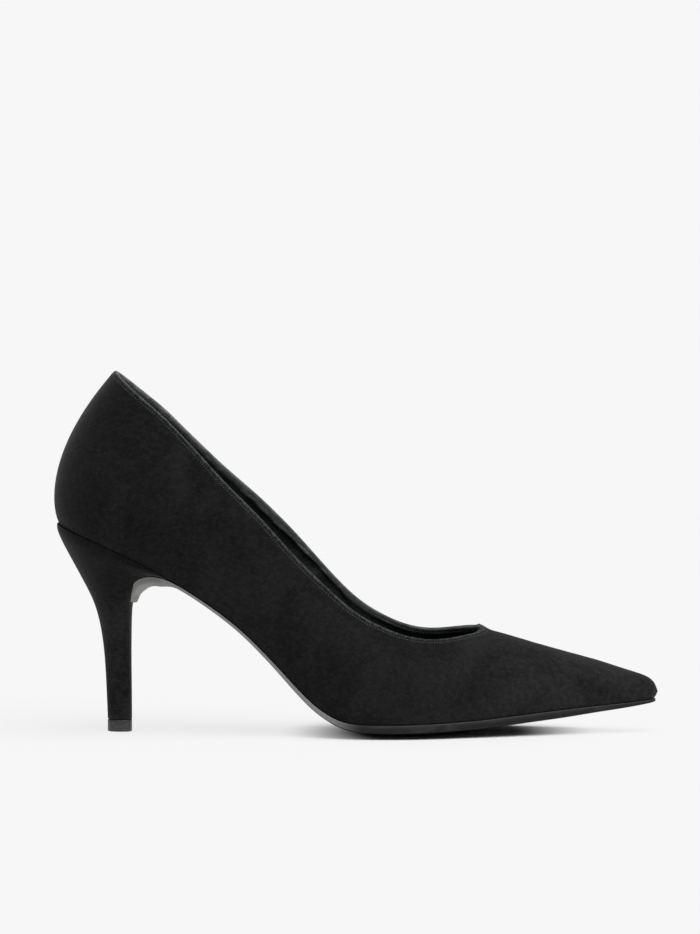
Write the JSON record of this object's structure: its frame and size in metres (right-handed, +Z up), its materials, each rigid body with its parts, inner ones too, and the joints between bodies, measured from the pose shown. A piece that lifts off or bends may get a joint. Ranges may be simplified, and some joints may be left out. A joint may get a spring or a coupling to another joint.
{
  "type": "stiletto court shoe",
  "caption": "Black suede high heel court shoe with a pointed toe, a low-cut throat and a slim suede-covered heel.",
  "frame": {"origin": "middle of the shoe's box, on the floor it stands on", "axes": "+X towards the toe, +Y towards the inner side of the foot, +Z up"},
  "size_m": [0.2424, 0.0742, 0.1452],
  "materials": {
    "suede": "black suede with a short nap, dry and matt",
    "sock_lining": "smooth dull black lining leather",
    "sole": "charcoal moulded sole with a satin edge",
    "heel_suede": "black suede wrapped tightly round the heel",
    "top_piece": "hard charcoal plastic, satin"
  },
  "bodies": {
    "root": {"upper": "suede", "insole": "sock_lining", "outsole": "sole", "heel": "heel_suede", "top_piece": "top_piece"}
  },
  "joints": []
}
